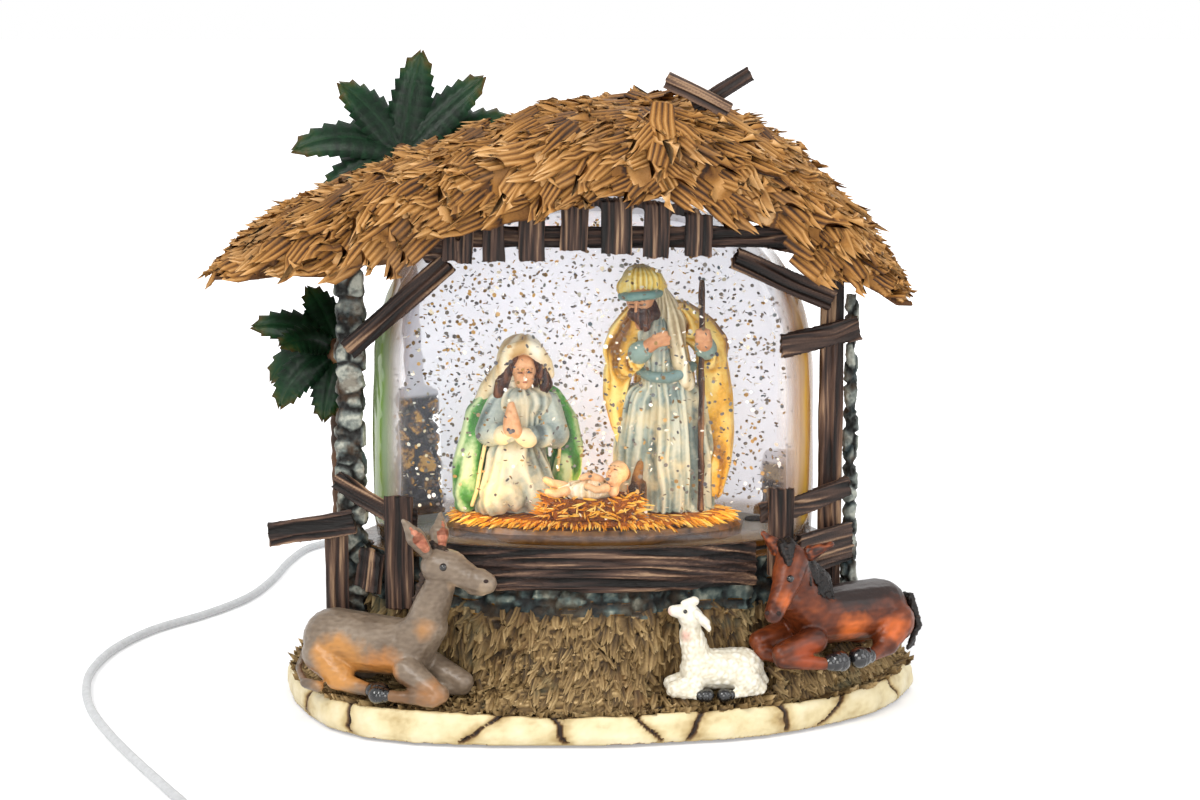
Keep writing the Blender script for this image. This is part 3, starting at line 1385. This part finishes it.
def make_laths():
    """Short boards hanging side by side from a thin batten behind the front fringe of the roof."""
    y = lath_middle_y()
    left = lath_places[0][0]
    right = lath_places[-1][0]
    arch = []
    for step in range(9):
        x = left + (right - left) * step / 8
        arch.append((x, y, roof_under(x) - lath_head))
    batten = plank("lath_row", arch, 2 * (lath_head - 0.0012), lath_thickness * 0.45, wood, ragged=0.0, grooves=1)
    for number, (x, width, low) in enumerate(lath_places):
        high = roof_under(x) - lath_head
        tilt = 0.0012 * wave(number * 2.4, 3.0)
        path = [(x + tilt * (1 - t), y, low + (high - low) * t) for t in (0, 0.5, 1)]
        lath = plank("lath_%d" % (number + 1), path, width, lath_thickness, wood, number * 1.3,
                     Vector((1, 0, 0)), ragged=0.0010, grooves=3)
        change_with(batten, cutter(lath), "UNION")


def lath_middle_y():
    return beam_front() - beam_thickness / 2 - lath_thickness / 2 - 3 * seat_gap


def make_fences():
    x = podium_middle[0] - podium_length * 0.3983
    left = pillar_place[0]
    wall = podium_wall(x) - wall_stand_off - board_thickness / 2
    path = [(x + 0.0006 * wave(k, 2), wall, z) for k, z in enumerate((0.041, 0.055, 0.069, 0.0815))]
    plank("fence_post_left", path, 0.0108, board_thickness, wood, 1.0, Vector((1, 0, 0)))
    back = wall + board_thickness + 3 * seat_gap
    front = pillar_place[1] - pillar_depth / 2 - board_thickness / 2 - 5 * seat_gap
    plank("fence_plank_left", [(left - 0.0048, front, z) for z in (0.037, 0.050, 0.0645)],
          0.0090, board_thickness, wood, 6.0, Vector((1, 0, 0)))
    rail = front - board_thickness - 3 * seat_gap
    plank("fence_rail_left", [(left - 0.0285, rail - 0.001, 0.0665), (left - 0.0190, rail, 0.0677),
                              (left - 0.0085, rail, 0.0692), (left + 0.0015, rail, 0.0712)],
          rail_height, board_thickness, wood, 3.0)
    plank("fence_board_left_top", [(left - 0.0045, front, 0.0855), (left + 0.0055, front - 0.0035, 0.0790),
                                   (x - 0.0020, back, 0.0735), (x + 0.0060, back, 0.0730)],
          rail_height * 0.8, board_thickness, wood, 2.5)
    plank("fence_board_left_low", [(left + 0.0032, front - 0.001, 0.0540), (left + 0.0070, front - 0.0035, 0.0530),
                                   (x - 0.0073, wall + 0.0040, 0.0520)],
          rail_height * 1.7, board_thickness, wood, 8.0)

    x = podium_middle[0] + podium_length * 0.3907
    right = post_place[0]
    wall = podium_wall(x - 0.0042) - wall_stand_off * 0.6 - board_thickness / 2 + fence_right_draw
    plank("fence_post_right", [(x, wall, z) for z in (0.054, 0.064, 0.074, 0.0845)],
          0.0098, board_thickness, wood, 5.5, Vector((1, 0, 0)))
    back = wall + board_thickness + 3 * seat_gap
    post_front = post_place[1] - post_width * 0.45 - board_thickness / 2 - 4 * seat_gap
    plank("fence_rail_right", [(x - 0.0072, back, 0.0750), (x + 0.0028, back, 0.0762),
                               (right - 0.0055, (back + post_front) / 2, 0.0788), (right + 0.0060, post_front, 0.0818)],
          rail_height * 0.85, board_thickness, wood, 7.5)
    plank("fence_boards_right", [(x + 0.0068, wall + 0.0022, 0.0602),
                                 (right - 0.0035, (wall + post_front) / 2 + 0.0008, 0.0605),
                                 (right + 0.0070, post_front, 0.0614)],
          rail_height * 1.62, board_thickness, wood, 9.5)


def podium_wall(x):
    """Front face of the podium at x, as y."""
    share = (x - podium_middle[0]) / (podium_length / 2)
    return podium_middle[1] - podium_depth / 2 * math.sqrt(1 - share * share)


def make_plank_band():
    """Bowed boards across the front of the podium, in a grooved stack."""
    stations = 16
    low = podium_top - 0.0105 + 0.001
    high = podium_top + 0.0068
    rows = 9
    rings = []
    for step in range(stations + 1):
        angle = math.pi * 1.5 + (step / stations - 0.5) * 1.44
        c = math.cos(angle)
        s = math.sin(angle)
        ring = []

        def point(out, z):
            return Vector((podium_middle[0] + (podium_length / 2 + out) * c,
                           podium_middle[1] + (podium_depth / 2 + out) * s, z))

        ring.append(point(seat_gap * 1.5, low))
        for row in range(rows + 1):
            z = low + (high - low) * row / rows
            out = 0.0040 if row % 2 else 0.0030
            out += 0.0005 * wave(step * 1.7, row * 2.1)
            ring.append(point(out, z + 0.0003 * wave(step * 1.3, row * 1.9)))
        ring.append(point(seat_gap * 1.5, high))
        rings.append(ring)
    return loft("plank_band", rings, wood, smooth_angle=20)


def make_ridge_planks():
    lift = roof_over(0.036) + 0.0062
    y = -0.036
    a = plank("ridge_plank_a", [(0.0235, y, lift + 0.0085), (0.0340, y, lift + 0.0035), (0.0445, y, lift - 0.0020)],
              0.0062, 0.0034, wood, 1.5)
    b = plank("ridge_plank_b", [(0.0330, y + 0.0046, lift - 0.0012), (0.0420, y + 0.0046, lift + 0.0045),
                                (0.0520, y + 0.0046, lift + 0.0105)], 0.0062, 0.0034, wood, 4.5)
    return a, b


# Palms

def leaf_rings(start, heading, rise, length, width, droop, seed):
    """Cross-sections of one arching, folded leaf with toothed edges."""
    rings = []
    steps = 6
    point = Vector(start)
    angle = rise
    flat = Vector((math.cos(heading), math.sin(heading), 0))
    for step in range(steps + 1):
        share = step / steps
        along = flat * math.cos(angle) + Vector((0, 0, math.sin(angle)))
        side = leaf_facing.cross(along).normalized()
        up = along.cross(side).normalized()
        half = width / 2 * (0.16 + 0.95 * math.sin(math.pi * min(1.0, share * 0.86 + 0.10)) ** 0.8)
        if step % 2 == 0 and 0 < step < steps:
            half *= 0.62
        if step == steps:
            half = width * 0.03
        thick = 0.0010 * (1.35 - 0.7 * share)
        fold = 0.34 * half
        rings.append([point - side * half - up * fold, point + up * (thick * 1.5), point + side * half - up * fold,
                      point - up * thick])
        point = point + along * (length / steps)
        angle -= droop / steps
    return rings


def make_crown(name, crown, leaves, hub_radius):
    """Leaves melted into one crown round a small heart."""
    bm = bmesh.new()
    bmesh.ops.create_uvsphere(bm, u_segments=10, v_segments=6, radius=hub_radius,
                              matrix=Matrix.Translation(crown))
    heart = finish_mesh(name, bm, leaf_green, 30)
    for number, (heading, rise, length, width, droop) in enumerate(leaves):
        heading = math.radians(heading)
        rise = math.radians(rise)
        direction = Vector((math.cos(heading) * math.cos(rise), math.sin(heading) * math.cos(rise), math.sin(rise)))
        start = Vector(crown) + direction * (hub_radius * 0.45)
        rings = leaf_rings(start, heading, rise, length, width, math.radians(droop), number)
        leaf = cutter(loft("%s_leaf_%d" % (name, number), rings, leaf_green, smooth_angle=30))
        change_with(heart, leaf, "UNION")
    return heart


def add_trunk(palm, foot_place, foot_level, crown, radius):
    """A ringed trunk from the ground up into the heart of its crown."""
    count = 7
    foot = Vector((*foot_place, foot_level + seat_gap))
    top = Vector(crown)
    notches = max(6, int((top.z - foot.z) / 0.020))
    rings = []
    for step in range(notches * 2 + 1):
        share = step / (notches * 2)
        middle = foot.lerp(top, share)
        size = radius * (1.15 - 0.35 * share) * (1.0 if step % 2 else 0.86)
        rings.append(oval((middle.x, middle.y), 2 * size, 2 * size, middle.z, count))
    change_with(palm, cutter(loft(palm.name + "_trunk", rings, trunk_brown, smooth_angle=25)), "UNION")


def make_palms():
    top = tall_palm_crown
    palm = make_crown("palm_tall", top, [
        (16, 82, 0.0385, 0.0150, 8), (-4, 50, 0.0410, 0.0150, 16), (178, 62, 0.0340, 0.0145, 30),
        (4, 30, 0.0415, 0.0145, 24), (184, 30, 0.0420, 0.0150, 62), (196, -6, 0.0340, 0.0145, 50),
        (130, 40, 0.0320, 0.0140, 60), (62, 12, 0.0300, 0.0140, 45), (-22, 6, 0.0260, 0.0130, 30),
    ], 0.0052)
    add_trunk(palm, tall_palm_place, palm_foot, top, trunk_radius)
    side = side_palm_crown
    palm = make_crown("palm_side", side, [
        (180, 42, 0.0320, 0.0130, 60), (160, 5, 0.0310, 0.0130, 70), (205, -15, 0.0300, 0.0130, 60),
        (135, 70, 0.0260, 0.0120, 40), (100, 20, 0.0300, 0.0130, 60), (225, 35, 0.0260, 0.0120, 60),
        (250, -55, 0.0260, 0.0120, 20),
    ], 0.0046)
    add_trunk(palm, side_palm_place, palm_foot, side, trunk_radius)


# Animals

def make_donkey():
    shapes = [
        ((-0.34, 0.0, 0.27), (0.18, 0.0, 0.27), 0.185, 0.165),
        ((0.18, 0.0, 0.27), (0.30, 0.0, 0.42), 0.165, 0.12),
        ((0.28, 0.0, 0.42), (0.40, 0.0, 0.70), 0.125, 0.092),
        ((0.38, 0.0, 0.78), (0.47, 0.0, 0.78), 0.105, 0.095),
        ((0.47, 0.0, 0.77), (0.66, 0.0, 0.72), 0.092, 0.062),
        ((0.64, 0.0, 0.725), (0.68, 0.0, 0.72), 0.066, 0.058),
        ((0.33, -0.055, 0.86), (0.24, -0.10, 1.00), 0.036, 0.030),
        ((0.34, 0.055, 0.86), (0.31, 0.10, 1.02), 0.036, 0.028),
        ((0.20, 0.0, 0.58), (0.34, 0.0, 0.84), 0.05, 0.05),
        ((-0.36, -0.09, 0.20), (-0.22, -0.15, 0.09), 0.12, 0.085),
        ((-0.36, 0.09, 0.20), (-0.22, 0.15, 0.09), 0.12, 0.085),
        ((-0.22, -0.16, 0.08), (0.04, -0.17, 0.055), 0.07, 0.05),
        ((0.04, -0.17, 0.055), (0.08, -0.17, 0.055), 0.058, 0.055),
        ((0.24, -0.12, 0.16), (0.46, -0.14, 0.07), 0.085, 0.066),
        ((0.46, -0.14, 0.07), (0.16, -0.19, 0.05), 0.062, 0.048),
        ((0.24, 0.12, 0.16), (0.47, 0.10, 0.09), 0.085, 0.066),
        ((-0.50, 0.0, 0.26), (-0.50, -0.12, 0.06), 0.028, 0.03),
        ((-0.50, -0.12, 0.06), (-0.34, -0.22, 0.045), 0.03, 0.035),
    ]
    level = grass_low + seat_gap
    body_of("donkey", placed(shapes, donkey_place, donkey_turn, donkey_length, level - press), donkey_grey,
            0.0013, 600, [floor_cut("donkey_cut", level)])


def make_lamb():
    shapes = [
        ((0.26, 0.0, 0.26), (-0.16, 0.0, 0.27), 0.22, 0.21),
        ((-0.16, 0.0, 0.30), (-0.25, 0.0, 0.66), 0.17, 0.135),
        ((-0.25, 0.0, 0.80), (-0.28, 0.0, 0.84), 0.145, 0.13),
        ((-0.30, 0.0, 0.88), (-0.44, -0.03, 0.95), 0.105, 0.065),
        ((-0.22, -0.12, 0.84), (-0.12, -0.20, 0.76), 0.05, 0.04),
        ((-0.22, 0.12, 0.84), (-0.12, 0.20, 0.76), 0.05, 0.04),
        ((-0.26, -0.12, 0.14), (-0.44, -0.12, 0.12), 0.12, 0.10),
        ((-0.44, -0.12, 0.11), (-0.12, -0.20, 0.07), 0.09, 0.06),
        ((-0.12, -0.20, 0.06), (-0.06, -0.20, 0.06), 0.065, 0.06),
        ((0.30, -0.13, 0.17), (0.42, -0.14, 0.10), 0.16, 0.09),
        ((0.42, -0.16, 0.09), (0.12, -0.22, 0.06), 0.08, 0.06),
        ((0.46, 0.0, 0.22), (0.52, 0.0, 0.12), 0.06, 0.05),
        ((-0.26, 0.12, 0.14), (-0.42, 0.12, 0.11), 0.11, 0.09),
        ((0.28, 0.12, 0.17), (0.38, 0.14, 0.10), 0.15, 0.09),
    ]
    level = grass_low + seat_gap
    body_of("lamb", placed(shapes, lamb_place, lamb_turn, lamb_length, level - press), lamb_white,
            0.0011, 400, [floor_cut("lamb_cut", level)])


def make_horse():
    shapes = [
        ((0.36, 0.0, 0.26), (-0.10, 0.0, 0.28), 0.185, 0.175),
        ((0.38, 0.0, 0.22), (0.46, -0.02, 0.16), 0.15, 0.10),
        ((-0.10, 0.0, 0.28), (-0.26, -0.02, 0.42), 0.175, 0.13),
        ((-0.22, -0.01, 0.42), (-0.32, -0.07, 0.62), 0.135, 0.10),
        ((-0.34, -0.10, 0.66), (-0.38, -0.15, 0.58), 0.10, 0.092),
        ((-0.38, -0.16, 0.57), (-0.47, -0.25, 0.38), 0.088, 0.058),
        ((-0.47, -0.25, 0.39), (-0.48, -0.26, 0.36), 0.062, 0.060),
        ((-0.24, -0.14, 0.70), (-0.15, -0.20, 0.70), 0.034, 0.024),
        ((-0.38, -0.02, 0.74), (-0.45, 0.03, 0.78), 0.034, 0.024),
        ((-0.28, -0.04, 0.72), (-0.14, 0.0, 0.52), 0.05, 0.07),
        ((-0.20, -0.13, 0.17), (-0.44, -0.15, 0.12), 0.085, 0.066),
        ((-0.44, -0.16, 0.09), (-0.12, -0.23, 0.05), 0.062, 0.046),
        ((-0.12, -0.23, 0.05), (-0.06, -0.23, 0.05), 0.058, 0.054),
        ((-0.20, 0.12, 0.17), (-0.46, 0.06, 0.16), 0.085, 0.066),
        ((0.40, -0.10, 0.20), (0.30, -0.17, 0.10), 0.13, 0.085),
        ((0.30, -0.18, 0.09), (0.12, -0.20, 0.06), 0.07, 0.05),
        ((0.12, -0.20, 0.06), (0.07, -0.20, 0.06), 0.062, 0.058),
        ((0.50, -0.04, 0.28), (0.55, -0.09, 0.12), 0.035, 0.03),
        ((0.40, 0.10, 0.20), (0.32, 0.14, 0.10), 0.12, 0.08),
    ]
    level = grass_right + seat_gap
    body_of("horse", placed(shapes, horse_place, horse_turn, horse_length, level - press), horse_brown,
            0.0013, 620, [floor_cut("horse_cut", level)])


clear_scene()
site = bpy.data.objects.new("site", None)
bpy.context.collection.objects.link(site)
site.location = (*site_shift, 0.0)

cast_stone = make_material("painted_cast_base", (0.33, 0.27, 0.16), 0.7)
stone = make_material("painted_stone", (0.36, 0.40, 0.38), 0.75)
wood = make_material("painted_wood", (0.09, 0.055, 0.04), 0.6)
wood_dark = make_material("painted_staff", (0.11, 0.05, 0.025), 0.55)
thatch = make_material("painted_thatch", (0.38, 0.18, 0.055), 0.65)
leaf_green = make_material("painted_leaf", (0.015, 0.05, 0.02), 0.35)
trunk_brown = make_material("painted_trunk", (0.10, 0.06, 0.035), 0.65)
donkey_grey = make_material("painted_donkey", (0.17, 0.13, 0.10), 0.45)
lamb_white = make_material("painted_lamb", (0.80, 0.76, 0.66), 0.6)
horse_brown = make_material("painted_horse", (0.20, 0.055, 0.015), 0.3)
brown_cast = make_material("painted_inner_stand", (0.12, 0.07, 0.03), 0.6)
straw = make_material("painted_straw", (0.72, 0.32, 0.03), 0.6)
straw_dark = make_material("painted_manger", (0.20, 0.10, 0.03), 0.6)
green_robe = make_material("painted_woman", (0.30, 0.46, 0.22), 0.5)
ochre_robe = make_material("painted_man", (0.60, 0.42, 0.13), 0.5)
white_cloth = make_material("painted_infant", (0.75, 0.62, 0.42), 0.5)
clear_plastic = make_material("clear_tank", (0.85, 0.87, 0.90), 0.05)
clear_plug = make_material("clear_plug", (0.75, 0.70, 0.58), 0.2)
rubber = make_material("black_rubber", (0.02, 0.02, 0.02), 0.8)
black_plastic = make_material("black_plastic", (0.025, 0.025, 0.027), 0.5)
white_plastic = make_material("white_plastic", (0.8, 0.8, 0.78), 0.4)
pale_plastic = make_material("pale_cord", (0.55, 0.56, 0.57), 0.45)
dark_metal = make_material("magnet", (0.10, 0.10, 0.11), 0.4, 0.8)
steel = make_material("steel", (0.55, 0.55, 0.55), 0.3, 1.0)
circuit_green = make_material("circuit_board", (0.02, 0.16, 0.06), 0.5)
cell_skin = make_material("cell_skin", (0.08, 0.08, 0.09), 0.35, 0.3)

make_base()
make_tank()
make_tank_plug()
make_stand()
make_mat()
make_woman()
make_man()
make_manger()
make_impeller()
make_drive()
make_led_board()
make_underside()
make_cord(make_inlet())
make_roof()
make_pillar()
make_rear_stones()
make_frame()
make_laths()
make_fences()
make_plank_band()
make_ridge_planks()
make_palms()
make_donkey()
make_lamb()
make_horse()
